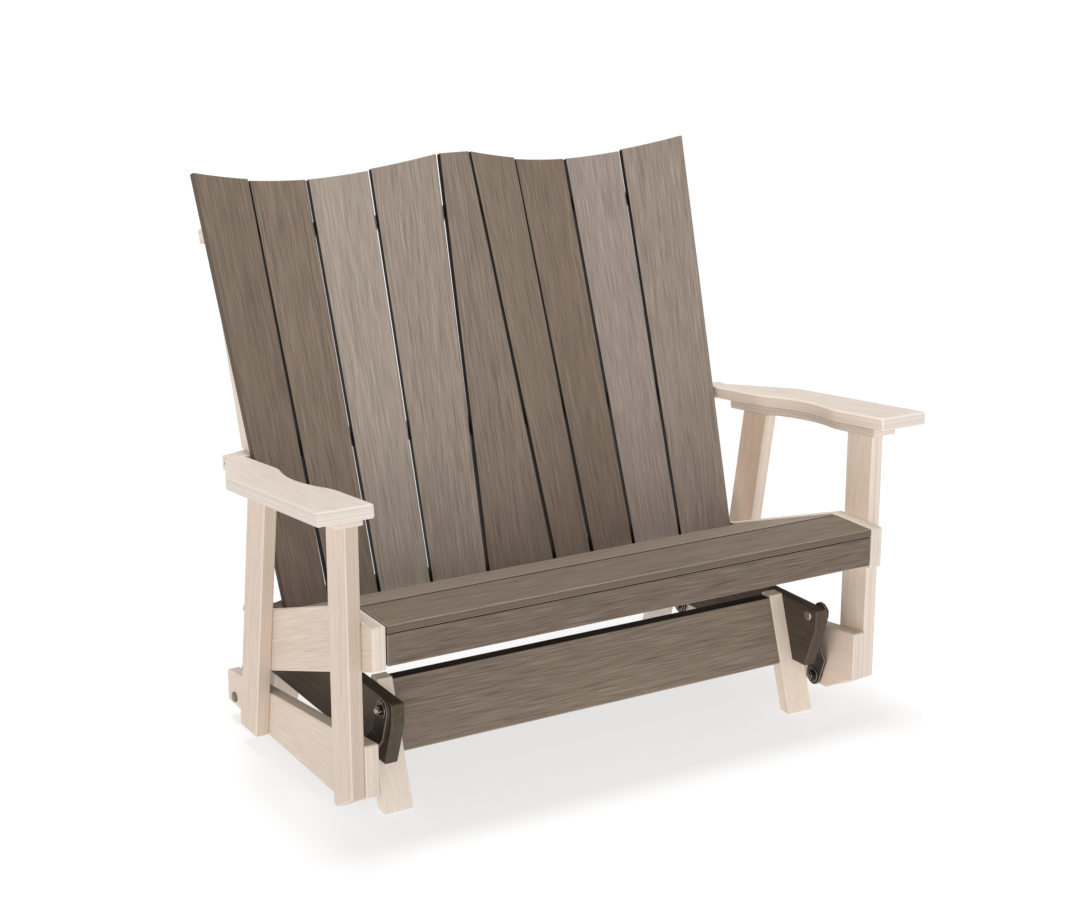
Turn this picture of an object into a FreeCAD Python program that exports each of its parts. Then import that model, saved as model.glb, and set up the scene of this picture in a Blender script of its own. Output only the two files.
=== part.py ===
"""Double porch glider: a fan-backed bench that hangs from a low base on four swing arms.

Units are millimetres and degrees. X runs along the bench, Y to the back and Z up. The pieces are drawn
with Y = 0 near the front of the seat. At the end they are moved along Y, so that the origin lies on the
floor under the middle of the whole glider. The right half is drawn, and the left half is its mirror image.
"""
import FreeCAD
import Part
import math
import os

Vector = FreeCAD.Vector

# Board thicknesses and edges
board = 28.0                   # frame boards
arm_board = 27.0               # armrests
support_board = 18.0           # boards under the armrests
back_board = 16.0              # back slats
seat_board = 16.0              # seat slats
edge_round = 3.5               # eased edges of the frame boards
arm_round = 5.0                # eased edges of the armrests
slat_round = 2.5               # eased edges of the back slats
seat_round = 2.5               # rounded edges of the seat slats
leg_round = 2.0                # eased edges of the base legs
joint_gap = 2.0                # gap left at the ends of the boards between the seat rails

# Seat frame, right side
seat_inside = 551.0            # X of the inner faces of the seat rails; the other widths follow it
front_leg_front = 16.0         # Y of the front edge of a front leg
front_leg_width = 82.0
front_leg_bottom = 45.0
front_toe_height = 39.0        # height of the slanted cut at the toe of a front leg
front_toe_flat = 15.0          # length of the level part of that toe
rear_leg_middle = 468.5        # Y of the middle of a rear leg at the height below
rear_leg_middle_height = 300.0
rear_leg_width = 83.0
rear_leg_lean = 10.0           # degrees, foot to the back
rear_leg_bottom = 37.0
lower_rail_front = 13.0
lower_rail_rear = 690.0
lower_rail_bottom = 36.0
lower_rail_front_top = 187.0
lower_rail_rear_top = 105.0
lower_rail_toe_height = 47.0
lower_rail_toe_length = 90.0

# Seat
seat_front = -28.0             # Y of the front of the seat
seat_height = 429.0            # top of the first slat
seat_flat = 117.0              # length of the level part of the seat
seat_slope = 18.6              # degrees, down to the back
seat_rail_front_depth = 84.0
seat_rail_rise = 5.0           # sloped top of a seat rail above the slats
seat_slat_gap = 5.0
seat_rear_clearance = 6.0      # last seat slat to the back slats
sloped_slats = 3
apron_bottom = 350.0
cleat_height = 25.0
centre_rail_height = 80.0
rail_leg_margin = 4.0          # rear end of a seat rail inside the rear edge of the leg

# Armrests
arm_front = -27.0
arm_front_top = 660.0          # height of the front top edge
arm_tilt = 5.67                # degrees, down to the back
arm_inset = 16.0               # inner edge of the armrest outside the inner face of the seat rail
arm_width = 112.0
arm_bend = 421.0               # distance from the front to where the outer edge turns in
arm_rear = 566.0               # Y of the rear end, which meets the middle brace
arm_rear_width = 34.0
scoop_start = 171.0            # the hollow in the inner edge, measured from the front
scoop_end = 419.0
scoop_depth = 21.0
scoop_blend = 150.0            # radius at both ends of the hollow
support_inset = 7.0            # inner edge of the support behind that of the armrest
support_width = 56.0
support_start = 36.0
support_end = 541.0

# Back, drawn in its own frame: X, depth to the back, and height along the back
back_foot_y = 447.0
back_foot_z = 302.4
back_rake = 18.55              # degrees
fan_rail_gap = 7.3             # outer edge of the fan to the seat rail at the foot
fan_flare = 43.5               # how much further out that edge is at the top
middle_half_low = 81.5         # half width of the middle slat at the foot, with its gap
middle_half_high = 38.0
fan_sag_low = 49.5             # how far the middle of a fan lies behind its edges
fan_sag_high = 78.0
fan_bottom = -20.0
fan_height = 888.0             # where the upper ones of these sizes are measured, along the back
fan_top_inner = 899.0          # height of the hollow top of a fan at its inner edge
fan_top_middle = 873.3
fan_top_outer = 895.7
fan_slats = 4
middle_slat_top = 893.8
slat_gap = 5.8
slat_side_turns = (0.17, 0.1, 0.85, 0.25)  # share of its turn that a slat's sides follow, from the inner slat
upper_brace_low = 757.0
upper_brace_inset = 4.5        # ends of the upper brace inside the outer edges of the fans
upper_brace_depth = 36.0
middle_brace_bottom = 572.0
middle_brace_overhang = 4.0    # ends of the middle brace outside the rear ends of the armrests
middle_brace_depth = 50.0
middle_brace_end_depth = 28.0
lower_brace_top = 308.0
lower_brace_depth = 36.0
post_rear = 73.0               # depth of the rear face of a post
big = 1500.0                   # larger than the whole glider, for trimming

# Base
swing_gap = 45.0               # between the base rail and the lower rail, where the swing arms hang
base_rail_bottom = 106.0
base_rail_top = 239.0
base_leg_top = 243.0
base_rail_front = 51.0
base_rail_rear = 723.0
base_rail_end_height = 43.0    # vertical part of the end of a base rail
base_rail_end_slant = 34.0     # how far the slanted part of that end runs in
base_leg_width = 61.0
base_leg_splay = 18.26         # degrees
base_front_foot = 89.0         # Y of the front face of the front legs on the floor
base_rear_foot = 641.0         # Y of the front face of the rear legs on the floor
stretcher_bottom = 104.0

# Swing arms and their pivots
pivot_front_upper = (76.0, 223.0)
pivot_front_lower = (137.0, 56.0)
pivot_rear_lower = (650.0, 56.0)
pivot_rear_upper = (711.0, 223.0)
swing_thickness = 6.0
swing_width = 44.0
swing_bend_low = 60.0          # where the arm's bend begins and ends, from the upper pivot
swing_bend_high = 125.0
washer_radius = 17.0
washer_thickness = 2.0
bolt_radius = 5.0
bolt_head_radius = 11.0
bolt_head_height = 5.0
bolt_head_round = 3.5
bolt_end = 3.0                 # bolt that stands out of its nut
nut_flats = 17.0
nut_height = 8.0
side_clearance = 0.3           # between the faces of pieces that swing past each other
running_clearance = 0.05       # bush on bolt, on the radius
loose_clearance = 0.1          # bolt or screw in its hole, on the radius
open_clearance = 4.0           # bush on bolt at the rear lower pivots, on the radius
bush_radius = 8.0
open_bush_radius = 12.5

# Screws
screw_radius = 2.5
screw_head_radius = 4.5
screw_head_height = 3.0
screw_sink = 1.0               # head below the surface of the board
screw_hole_tail = 0.5          # hole deeper than the screw
plug_depth = 8.0               # plugs over the screws in the rails


def side_board(outline, x_low, x_high):
    """A board that stands in the YZ plane, from a closed outline of (y, z) points."""
    points = [Vector(x_low, y, z) for y, z in outline]
    face = Part.Face(Part.makePolygon(points + points[:1]))
    return face.extrude(Vector(x_high - x_low, 0, 0))


def eased(solid, radius):
    """The solid with all its edges rounded."""
    return solid.makeFillet(radius, solid.Edges)


def mirrored(shape):
    """The same piece at the other end of the bench."""
    return shape.mirror(Vector(0, 0, 0), Vector(1, 0, 0))


def block(low, high):
    """A box from its low corner to its high corner."""
    return Part.makeBox(high[0] - low[0], high[1] - low[1], high[2] - low[2], Vector(*low))


def rod(start, direction, radius, length):
    """A round bar."""
    return Part.makeCylinder(radius, length, start, direction)


def tilted(shape, degrees, y, z):
    """Turns a piece about X, with positive angles lowering its rear, and then moves it to (y, z)."""
    moved = shape.copy()
    moved.rotate(Vector(0, 0, 0), Vector(1, 0, 0), -degrees)
    moved.translate(Vector(0, y, z))
    return moved


def bored(piece, holes):
    """The piece with every hole cut that reaches it."""
    for hole in holes:
        if piece.BoundBox.intersect(hole.BoundBox):
            piece = piece.cut(hole)
    return piece


def screw(start, direction, length):
    """A screw whose head is sunk below the surface point start."""
    along = Vector(direction).normalize()
    head_start = start + along * screw_sink
    head = rod(head_start, along, screw_head_radius, screw_head_height)
    shank = rod(head_start, along, screw_radius, length)
    return head.fuse(shank).removeSplitter()


def screw_hole(start, direction, length):
    """The hole for such a screw, open from well outside the surface."""
    along = Vector(direction).normalize()
    open_length = 2.0 * board
    wide = rod(start - along * open_length, along, screw_head_radius + loose_clearance,
               open_length + screw_sink + screw_head_height)
    narrow = rod(start, along, screw_radius + loose_clearance, screw_sink + length + screw_hole_tail)
    return wide.fuse(narrow)


def mirror_places(places):
    """Screw places on both sides of the bench."""
    both = list(places)
    for start, direction, length in places:
        turned = Vector(-direction.x, direction.y, direction.z)
        both.append((Vector(-start.x, start.y, start.z), turned, length))
    return both


def ring(start, direction, outer, inner, height):
    """A washer or a bush."""
    return rod(start, direction, outer, height).cut(rod(start, direction, inner, height))


def nut(start, direction, height):
    """A hexagon nut with its hole."""
    corner = nut_flats / math.sqrt(3.0)
    corners = []
    for step in range(6):
        angle = math.radians(60 * step)
        corners.append(start + Vector(0, corner * math.cos(angle), corner * math.sin(angle)))
    face = Part.Face(Part.makePolygon(corners + corners[:1]))
    return face.extrude(direction * height).cut(rod(start, direction, bolt_radius + loose_clearance, height))


def carriage_bolt(surface, direction, length):
    """A bolt with a round head that stands on the surface."""
    head = rod(surface - direction * bolt_head_height, direction, bolt_head_radius, bolt_head_height)
    circles = [edge for edge in head.Edges if edge.Closed]
    crown = []
    for edge in circles:
        if abs((edge.CenterOfMass - surface).dot(direction)) > bolt_head_height / 2.0:
            crown.append(edge)
    head = head.makeFillet(bolt_head_round, crown)
    return head.fuse(rod(surface, direction, bolt_radius, length)).removeSplitter()


# Positions that follow from the sizes above
seat_outside = seat_inside + board
leg_outside = seat_outside + board
arm_inside = seat_inside + arm_inset
arm_rear_outside = arm_inside + arm_rear_width
middle_brace_end = arm_rear_outside + middle_brace_overhang
post_outside = seat_inside
base_rail_outside = seat_inside - swing_gap
base_leg_inside = base_rail_outside - base_leg_width
fan_outside_low = seat_inside - fan_rail_gap
fan_outside_high = fan_outside_low + fan_flare
seat_tangent = math.tan(math.radians(seat_slope))
seat_break = seat_front + seat_flat
arm_tangent = math.tan(math.radians(arm_tilt))
arm_cosine = math.cos(math.radians(arm_tilt))
rake_sine = math.sin(math.radians(back_rake))
rake_cosine = math.cos(math.radians(back_rake))
rake_tangent = math.tan(math.radians(back_rake))
lean_tangent = math.tan(math.radians(rear_leg_lean))
splay_tangent = math.tan(math.radians(base_leg_splay))
splay_thickness = board / math.cos(math.radians(base_leg_splay))
base_rail_inside = base_rail_outside - board


def seat_top(y):
    """Height of the top of the seat at y."""
    return seat_height - max(0.0, y - seat_break) * seat_tangent


def support_underside(y):
    """Height of the underside of the boards under the armrests at y."""
    return arm_front_top - (y - arm_front) * arm_tangent - (arm_board + support_board) / arm_cosine


def rear_leg_line(z, offset):
    """Y on a line along the rear leg, at an offset from its middle."""
    return rear_leg_middle - (z - rear_leg_middle_height) * lean_tangent + offset


def crossing(line_y, line_slope, edge_y, edge_z, edge_slope):
    """Where y = line_y + line_slope * z meets z = edge_z + edge_slope * (y - edge_y)."""
    z = (edge_z + edge_slope * (line_y - edge_y)) / (1.0 - edge_slope * line_slope)
    return line_y + line_slope * z, z


# Legs and rails of the seat frame
front_leg_rear = front_leg_front + front_leg_width
front_leg = side_board([
    (front_leg_front, front_leg_bottom + front_toe_height),
    (front_leg_rear - front_toe_flat, front_leg_bottom),
    (front_leg_rear, front_leg_bottom),
    (front_leg_rear, support_underside(front_leg_rear)),
    (front_leg_front, support_underside(front_leg_front)),
], seat_outside, leg_outside)
front_leg = eased(front_leg, edge_round)

half_rear_leg = rear_leg_width / 2.0 / math.cos(math.radians(rear_leg_lean))
leg_line_start = rear_leg_middle + rear_leg_middle_height * lean_tangent
support_line = support_underside(0.0)
rear_leg_top_front = crossing(leg_line_start - half_rear_leg, -lean_tangent, 0.0, support_line, -arm_tangent)
rear_leg_top_rear = crossing(leg_line_start + half_rear_leg, -lean_tangent, 0.0, support_line, -arm_tangent)
rear_leg = side_board([
    (rear_leg_line(rear_leg_bottom, -half_rear_leg), rear_leg_bottom),
    (rear_leg_line(rear_leg_bottom, half_rear_leg), rear_leg_bottom),
    rear_leg_top_rear,
    rear_leg_top_front,
], seat_outside, leg_outside)
rear_leg = eased(rear_leg, edge_round)

lower_rail = side_board([
    (lower_rail_front, lower_rail_bottom + lower_rail_toe_height),
    (lower_rail_front + lower_rail_toe_length, lower_rail_bottom),
    (lower_rail_rear, lower_rail_bottom),
    (lower_rail_rear, lower_rail_rear_top),
    (lower_rail_front, lower_rail_front_top),
], seat_inside, seat_outside)
lower_rail = eased(lower_rail, edge_round)

rail_end_line = leg_line_start + half_rear_leg - rail_leg_margin
seat_rail_bottom = seat_height - seat_rail_front_depth
rail_break = seat_break + seat_rail_rise / seat_tangent
rail_end_top = crossing(rail_end_line, -lean_tangent, rail_break, seat_height, -seat_tangent)
rail_end_bottom = crossing(rail_end_line, -lean_tangent, seat_front, seat_rail_bottom, -seat_tangent)
seat_rail = side_board([
    (seat_front, seat_rail_bottom),
    rail_end_bottom,
    rail_end_top,
    (rail_break, seat_height),
    (seat_front, seat_height),
], seat_inside, seat_outside)
seat_rail = eased(seat_rail, edge_round)


def arm_plan(inside, outside, start, end, bend, end_outside, thickness, drop):
    """A board in the plane of the armrest, with the hollow in its inner edge.

    Lengths are measured from the front end of the armrest. drop is how deep its top lies below the
    top of the armrest."""
    straight = [
        Vector(inside, scoop_start, 0),
        Vector(inside, start, 0),
        Vector(outside, start, 0),
        Vector(outside, bend, 0),
        Vector(end_outside, end, 0),
        Vector(inside, end, 0),
        Vector(inside, scoop_end, 0),
    ]
    hollow = Vector(inside + scoop_depth, (scoop_start + scoop_end) / 2.0, 0)
    edges = []
    for first, second in zip(straight, straight[1:]):
        if (second - first).Length > 0.001:
            edges.append(Part.makeLine(first, second))
    edges.append(Part.Arc(straight[-1], hollow, straight[0]).toShape())
    solid = Part.Face(Part.Wire(edges)).extrude(Vector(0, 0, -thickness))
    middle = Vector(0, 0, -thickness / 2.0)
    ends = [straight[0] + middle, straight[-1] + middle]
    corners = [edge for edge in solid.Edges if min((edge.CenterOfMass - end).Length for end in ends) < 0.1]
    solid = solid.makeFillet(scoop_blend, corners)
    solid.translate(Vector(0, 0, -drop))
    return solid


# Armrests and the boards under them
arm_length = (arm_rear - arm_front) / arm_cosine
armrest = arm_plan(arm_inside, arm_inside + arm_width, 0.0, arm_length + arm_board, arm_bend,
                   arm_rear_outside, arm_board, 0.0)
armrest = tilted(armrest, arm_tilt, arm_front, arm_front_top)
armrest = armrest.cut(block((0, arm_rear, 0), (big, big, big)))
armrest = eased(armrest, arm_round)
support_inside = arm_inside + support_inset
support_outside = support_inside + support_width
arm_support = arm_plan(support_inside, support_outside, support_start, support_end,
                       support_end - support_board, support_outside - support_board, support_board,
                       arm_board)
arm_support = tilted(arm_support, arm_tilt, arm_front, arm_front_top)
arm_support = eased(arm_support, edge_round)


def share(low, high, s):
    """A size that grows evenly from the foot of the back to its top."""
    return low + (high - low) * s / fan_height


def fan_inner(s):
    """X of the inner edge of the right fan."""
    return share(middle_half_low, middle_half_high, s)


def fan_outer(s):
    """X of the outer edge of the right fan."""
    return share(fan_outside_low, fan_outside_high, s)


def fan_point(t, s):
    """A point on the front of the right fan. t runs from -1 at its inner edge to 1 at its outer edge."""
    depth = share(fan_sag_low, fan_sag_high, s) * (1.0 - t * t)
    x = (fan_inner(s) * (1.0 - t) + fan_outer(s) * (1.0 + t)) / 2.0
    return Vector(x, depth, s)


def fan_top(t):
    """Height of the hollow top edge of a fan."""
    end = fan_top_inner if t < 0.0 else fan_top_outer
    return fan_top_middle + (end - fan_top_middle) * t * t


class Slat:
    """The plane of one slat of the right fan: its foot, its directions and its half widths."""

    def __init__(self, number):
        self.side_turn = slat_side_turns[number]
        self.start = -1.0 + 2.0 * number / fan_slats
        self.end = self.start + 2.0 / fan_slats
        low_start = fan_point(self.start, fan_bottom)
        low_end = fan_point(self.end, fan_bottom)
        high_start = fan_point(self.start, fan_height)
        high_end = fan_point(self.end, fan_height)
        self.foot = (low_start + low_end) * 0.5
        rise = (high_start + high_end) * 0.5 - self.foot
        self.height = rise.Length
        self.up = Vector(rise).normalize()
        across = (low_end - low_start) + (high_end - high_start)
        across = across - self.up * across.dot(self.up)
        self.across = Vector(across).normalize()
        self.back = self.up.cross(self.across)
        self.half_low = (low_end - low_start).dot(self.across) / 2.0 - slat_gap / 2.0
        self.half_high = (high_end - high_start).dot(self.across) / 2.0 - slat_gap / 2.0

    def at(self, side, height, depth):
        """A point of the slat, from its middle line, its foot and its front face."""
        return self.foot + self.across * side + self.up * height + self.back * depth

    def half(self, height):
        """Half the width of the slat at a height."""
        return self.half_low + (self.half_high - self.half_low) * height / self.height

    def top(self, t):
        """Height of the slat's top edge."""
        return self.height + fan_top(t) - fan_height

    def solid(self, spare):
        """The board, with spare width at its inner edge."""
        start_top = self.top(self.start)
        end_top = self.top(self.end)
        middle_top = self.top((self.start + self.end) / 2.0)
        low_start = self.at(-self.half_low - spare, 0.0, 0.0)
        low_end = self.at(self.half_low, 0.0, 0.0)
        high_end = self.at(self.half(end_top), end_top, 0.0)
        high_middle = self.at(-spare / 2.0, middle_top, 0.0)
        high_start = self.at(-self.half(start_top) - spare, start_top, 0.0)
        edges = [
            Part.makeLine(low_start, low_end),
            Part.makeLine(low_end, high_end),
            Part.Arc(high_end, high_middle, high_start).toShape(),
            Part.makeLine(high_start, low_start),
        ]
        side = Vector(0, 1, 0) * (1.0 - self.side_turn) + self.back * self.side_turn
        return Part.Face(Part.Wire(edges)).extrude(side * (back_board / side.dot(self.back)))

    def front_space(self):
        """The space in front of the slat's back, as wide as the slat and its gaps."""
        low = -4.0 * board
        high = self.height + 4.0 * board
        half_low = self.half(low) + slat_gap
        half_high = self.half(high) + slat_gap
        corners = [(-half_low, low), (half_low, low), (half_high, high), (-half_high, high)]
        points = [self.at(side, height, back_board) for side, height in corners]
        return Part.Face(Part.makePolygon(points + points[:1])).extrude(self.back * -8.0 * board)


def middle_slab(low, high, side, front, rear):
    """The tapered slab between the two fans, widened by side."""
    points = [
        Vector(-fan_inner(low) - side, front, low),
        Vector(fan_inner(low) + side, front, low),
        Vector(fan_inner(high) + side, front, high),
        Vector(-fan_inner(high) - side, front, high),
    ]
    return Part.Face(Part.makePolygon(points + points[:1])).extrude(Vector(0, rear - front, 0))


def raked(shape):
    """Brings a piece from the frame of the back to its place."""
    return tilted(shape, back_rake, back_foot_y, back_foot_z)


def raked_point(point):
    """The same for one point."""
    y = back_foot_y + point.y * rake_cosine + point.z * rake_sine
    z = back_foot_z - point.y * rake_sine + point.z * rake_cosine
    return Vector(point.x, y, z)


def raked_direction(direction):
    """The same for a direction."""
    return raked_point(direction) - raked_point(Vector(0, 0, 0))


# Back slats, in the frame of the back
slats = [Slat(number) for number in range(fan_slats)]
fan_boards = [slat.solid(0.0) for slat in slats]
inner_trim = middle_slab(fan_bottom - board, fan_height + board, slat_gap / 2.0, -board, 4.0 * board)
fan_boards[0] = slats[0].solid(back_board).cut(inner_trim)
fan_boards = [eased(solid, slat_round) for solid in fan_boards]
middle_board = eased(middle_slab(fan_bottom, middle_slat_top, -slat_gap / 2.0, 0.0, back_board), slat_round)

# The spaces in front of the backs of the slats, which trim the braces to sit on them
fan_spaces = [slat.front_space() for slat in slats]
middle_space = middle_slab(-fan_height, 2.0 * fan_height, slat_gap, -8.0 * board, back_board)
front_spaces = fan_spaces + [mirrored(space) for space in fan_spaces] + [middle_space]
raked_spaces = [raked(space) for space in front_spaces]


def trimmed(solid, spaces):
    """The solid with the spaces cut away."""
    for space in spaces:
        solid = solid.cut(space)
    return solid


curve_steps = 8


def brace_blank(front, end, end_rear, rear_points):
    """A brace in the XY plane: a straight front, two square ends and a rear edge with two curves.

    rear_points are the (x, y) points of the right curve, from the outer end to the inner one."""
    outer = [Vector(x, y, 0) for x, y in rear_points]
    curve = Part.BSplineCurve()
    curve.interpolate(outer)
    right = curve.toShape()
    left = mirrored(right)
    corner_places = ((end, end_rear), (end, front), (-end, front), (-end, end_rear))
    corners = [Vector(x, y, 0) for x, y in corner_places]
    edges = [right, left]
    if (corners[0] - outer[0]).Length > 0.001:
        edges.append(Part.makeLine(outer[0], corners[0]))
        edges.append(Part.makeLine(corners[3], Vector(-outer[0].x, outer[0].y, 0)))
    for first, second in zip(corners, corners[1:]):
        edges.append(Part.makeLine(first, second))
    edges.append(Part.makeLine(outer[-1], Vector(-outer[-1].x, outer[-1].y, 0)))
    wire = Part.Wire(Part.__sortEdges__(edges))
    return Part.Face(wire).extrude(Vector(0, 0, board))


# Upper brace, square to the back
upper_rear = []
upper_brace_end = fan_outer(upper_brace_low) - upper_brace_inset
outer_share = 1.0 - 2.0 * upper_brace_inset / (fan_outer(upper_brace_low) - fan_inner(upper_brace_low))
for step in range(curve_steps + 1):
    place = outer_share + (-1.0 - outer_share) * step / curve_steps
    spot = fan_point(place, upper_brace_low)
    upper_rear.append((spot.x, spot.y + back_board + upper_brace_depth))
back_brace_upper = brace_blank(back_board / 2.0, upper_brace_end, upper_rear[0][1], upper_rear)
back_brace_upper.translate(Vector(0, 0, upper_brace_low))
back_brace_upper = raked(trimmed(back_brace_upper, front_spaces))


def fan_at_height(t, z):
    """The point on the front of the right fan at a height above the floor."""
    s = (z - back_foot_z) / rake_cosine
    for repeat in range(6):
        s = (z - back_foot_z + fan_point(t, s).y * rake_sine) / rake_cosine
    return raked_point(fan_point(t, s))


# Middle brace, level, at the rear ends of the armrests
middle_brace_middle = middle_brace_bottom + board / 2.0
slat_level_depth = back_board / rake_cosine
middle_rear = []
for step in range(curve_steps + 1):
    place = 1.0 - 2.0 * step / curve_steps
    spot = fan_at_height(place, middle_brace_middle)
    middle_rear.append((spot.x, spot.y + slat_level_depth + middle_brace_depth))
back_brace_middle = brace_blank(arm_rear, middle_brace_end, arm_rear + middle_brace_end_depth, middle_rear)
back_brace_middle.translate(Vector(0, 0, middle_brace_bottom))
back_brace_middle = trimmed(back_brace_middle, raked_spaces)

# Lower brace, level, between the seat rails
lower_rear = []
for step in range(curve_steps + 1):
    place = 1.0 - 2.0 * step / curve_steps
    spot = fan_at_height(place, lower_brace_top - board / 2.0)
    lower_rear.append((spot.x, spot.y + slat_level_depth + lower_brace_depth))
back_brace_lower = brace_blank(back_foot_y, seat_inside, lower_rear[0][1], lower_rear)
back_brace_lower.translate(Vector(0, 0, lower_brace_top - board))
back_brace_lower = trimmed(back_brace_lower, raked_spaces)

# Posts between the middle and the upper brace
back_post = block((post_outside - board, 0.0, 0.0), (post_outside, post_rear, upper_brace_low))
back_post = raked(trimmed(back_post, fan_spaces))
back_post = back_post.cut(block((0, 0, 0), (big, big, middle_brace_bottom + board)))

# Seat slats, the apron, the cleats and the centre rail
slat_end = seat_inside - joint_gap
first_slat_rear = seat_break - seat_slat_gap / 2.0
seat_slat_1 = block((-slat_end, seat_front, seat_height - seat_board),
                    (slat_end, first_slat_rear, seat_height))
seat_slat_1 = eased(seat_slat_1, seat_round)
slope_cosine = math.cos(math.radians(seat_slope))
slope_sine = math.sin(math.radians(seat_slope))
back_line = back_foot_y - back_foot_z * rake_tangent
slope_end = crossing(back_line, rake_tangent, seat_break, seat_height, -seat_tangent)
slope_length = (slope_end[0] - seat_break) / slope_cosine - seat_rear_clearance
sloped_pitch = slope_length / sloped_slats
sloped_boards = []
for number in range(sloped_slats):
    low = number * sloped_pitch + seat_slat_gap / 2.0
    high = (number + 1) * sloped_pitch - seat_slat_gap / 2.0
    slat = eased(block((-slat_end, low, -seat_board), (slat_end, high, 0.0)), seat_round)
    sloped_boards.append(tilted(slat, seat_slope, seat_break, seat_height))
apron_rear = seat_front + board
seat_apron = block((-slat_end, seat_front, apron_bottom), (slat_end, apron_rear, seat_height - seat_board))
seat_apron = eased(seat_apron, edge_round)


def under_seat(y, depth):
    """Height of a line under the slats at y, at a depth below their undersides."""
    if y < seat_break:
        return seat_height - seat_board - depth
    return seat_top(y) - seat_board / slope_cosine - depth


cleat_rear = slope_end[0] - board
cleat_bend = seat_break - seat_board * math.tan(math.radians(seat_slope / 2.0))
flat_under = seat_height - seat_board
slope_under = seat_height - seat_board / slope_cosine
cleat = side_board([
    (apron_rear, flat_under - cleat_height),
    (apron_rear, flat_under),
    (cleat_bend, flat_under),
    (cleat_rear, slope_under - (cleat_rear - seat_break) * seat_tangent),
    (cleat_rear, slope_under - (cleat_rear - seat_break) * seat_tangent - cleat_height),
    (cleat_bend, flat_under - cleat_height),
], seat_inside - board, seat_inside)
centre_under = slope_under - centre_rail_height
centre_top = crossing(back_line, rake_tangent, seat_break, slope_under, -seat_tangent)
centre_bottom = crossing(back_line, rake_tangent, seat_break, centre_under, -seat_tangent)
seat_centre_rail = side_board([
    (apron_rear, apron_bottom),
    (apron_rear, flat_under),
    (cleat_bend, flat_under),
    centre_top,
    centre_bottom,
    (cleat_bend, flat_under - centre_rail_height),
], -board / 2.0, board / 2.0)

# Base rails, legs and stretchers
base_rail = side_board([
    (base_rail_front + base_rail_end_slant, base_rail_bottom),
    (base_rail_rear - base_rail_end_slant, base_rail_bottom),
    (base_rail_rear, base_rail_top - base_rail_end_height),
    (base_rail_rear, base_rail_top),
    (base_rail_front, base_rail_top),
    (base_rail_front, base_rail_top - base_rail_end_height),
], base_rail_inside, base_rail_outside)
base_rail = eased(base_rail, edge_round)


def splayed(foot, slope, low, high, x_low, x_high):
    """A board that leans in the YZ plane. foot is the Y of its front face on the floor."""
    return side_board([
        (foot + slope * low, low),
        (foot + slope * low + splay_thickness, low),
        (foot + slope * high + splay_thickness, high),
        (foot + slope * high, high),
    ], x_low, x_high)


rail_notch = block((base_rail_inside, -big, base_rail_bottom), (big, big, big))
base_leg_front = splayed(base_front_foot, splay_tangent, 0.0, base_leg_top, base_leg_inside,
                         base_rail_outside)
base_leg_front = eased(base_leg_front.cut(rail_notch), leg_round)
base_leg_rear = splayed(base_rear_foot, -splay_tangent, 0.0, base_leg_top, base_leg_inside, base_rail_outside)
base_leg_rear = eased(base_leg_rear.cut(rail_notch), leg_round)
base_stretcher_front = splayed(base_front_foot, splay_tangent, stretcher_bottom, base_rail_top,
                               -base_leg_inside, base_leg_inside)
base_stretcher_front = eased(base_stretcher_front, edge_round)
base_stretcher_rear = splayed(base_rear_foot, -splay_tangent, stretcher_bottom, base_rail_top,
                              -base_leg_inside, base_leg_inside)
base_stretcher_rear = eased(base_stretcher_rear, edge_round)

# Places of the pivot hardware along X: the arm hangs close to the base rail above and to the lower rail below
outward = Vector(1, 0, 0)
inward = Vector(-1, 0, 0)
stack_start = washer_thickness + side_clearance
stack_end = stack_start + swing_thickness + side_clearance + washer_thickness
bolt_length = board + stack_end + nut_height + bolt_end
upper_plate = base_rail_outside + stack_start
lower_plate = seat_inside - stack_start - swing_thickness
running_bush = (bush_radius, bolt_radius + running_clearance)
open_bush = (open_bush_radius, bolt_radius + open_clearance)


def swing_arm(upper, lower, lower_bush):
    """One arm with its two bushes: a flat bar with round ends and a double bend."""
    drop = Vector(0, lower[0] - upper[0], lower[1] - upper[1])
    length = drop.Length
    radius = swing_width / 2.0
    lean = math.degrees(math.atan2(drop.y, -drop.z))
    outline = block((0, -radius, -length), (big, radius, 0))
    for z in (0.0, -length):
        outline = outline.fuse(rod(Vector(0, 0, z), outward, radius, big))
    side = [
        (upper_plate, radius),
        (upper_plate + swing_thickness, radius),
        (upper_plate + swing_thickness, -swing_bend_low),
        (lower_plate + swing_thickness, -swing_bend_high),
        (lower_plate + swing_thickness, -length - radius),
        (lower_plate, -length - radius),
        (lower_plate, -swing_bend_high),
        (upper_plate, -swing_bend_low),
    ]
    points = [Vector(x, -radius, z) for x, z in side]
    bar = Part.Face(Part.makePolygon(points + points[:1])).extrude(Vector(0, swing_width, 0)).common(outline)
    places = [(upper_plate, 0.0) + running_bush, (lower_plate, -length) + lower_bush]
    bushes = []
    for x, z, outer, inner in places:
        bar = bar.cut(rod(Vector(x - swing_thickness, 0, z), outward, outer, 3.0 * swing_thickness))
        bushes.append(ring(Vector(x, 0, z), outward, outer, inner, swing_thickness))
    pieces = [bar.removeSplitter(), Part.makeCompound(bushes)]
    return [tilted(piece, -lean, upper[0], upper[1]) for piece in pieces]


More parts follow.
